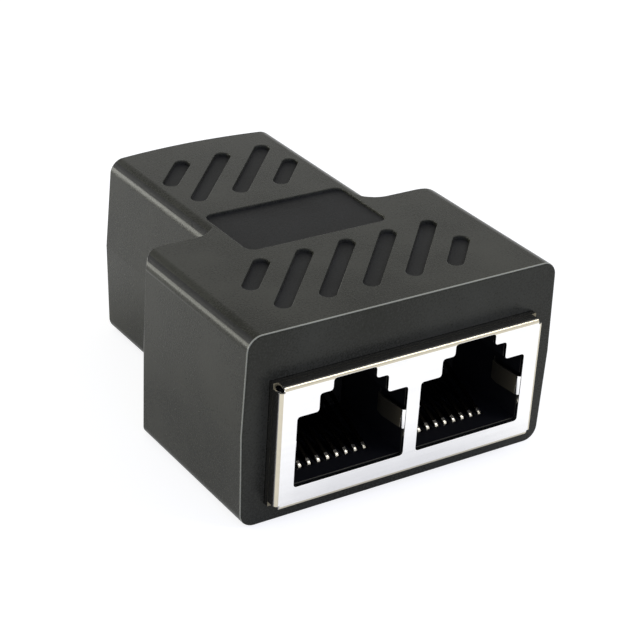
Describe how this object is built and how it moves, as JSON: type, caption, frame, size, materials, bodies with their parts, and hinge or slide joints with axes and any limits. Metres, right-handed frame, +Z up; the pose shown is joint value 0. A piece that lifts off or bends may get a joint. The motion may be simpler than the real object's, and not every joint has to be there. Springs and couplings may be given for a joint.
{
  "type": "modular jack splitter adapter",
  "caption": "T-shaped plastic splitter adapter for network cables, with shielded modular jacks side by side at its wide end and another at its narrow end.",
  "frame": {"origin": "middle of the adapter's length and width, on the plane of its underside", "axes": "+Z up, plug latches upwards; the pair of ports opens towards -Y and the single port towards +Y; +X to the right seen from the pair of ports"},
  "size_m": [0.0344, 0.0438, 0.0194],
  "materials": {
    "housing_plastic": "fine matt texture",
    "plated_sheet": "nickel-plated sheet, satin bright",
    "jack_plastic": "moulded, semi-matt",
    "carrier_plastic": "moulded, semi-matt",
    "contact_plating": "thin gold plating",
    "board_laminate": "solder mask"
  },
  "bodies": {
    "root": {"housing_top": "housing_plastic", "housing_bottom": "housing_plastic", "front_shield": "plated_sheet", "rear_shield": "plated_sheet", "front_insulator": "jack_plastic", "rear_insulator": "jack_plastic", "left_carrier": "carrier_plastic", "right_carrier": "carrier_plastic", "rear_carrier": "carrier_plastic", "circuit_board": "board_laminate", "left_contact_1": "contact_plating", "left_contact_2": "contact_plating", "left_contact_3": "contact_plating", "left_contact_4": "contact_plating", "left_contact_5": "contact_plating", "left_contact_6": "contact_plating", "left_contact_7": "contact_plating", "left_contact_8": "contact_plating", "right_contact_1": "contact_plating", "right_contact_2": "contact_plating", "right_contact_3": "contact_plating", "right_contact_4": "contact_plating", "right_contact_5": "contact_plating", "right_contact_6": "contact_plating", "right_contact_7": "contact_plating", "right_contact_8": "contact_plating", "rear_contact_1": "contact_plating", "rear_contact_2": "contact_plating", "rear_contact_3": "contact_plating", "rear_contact_4": "contact_plating", "rear_contact_5": "contact_plating", "rear_contact_6": "contact_plating", "rear_contact_7": "contact_plating", "rear_contact_8": "contact_plating"}
  },
  "joints": []
}
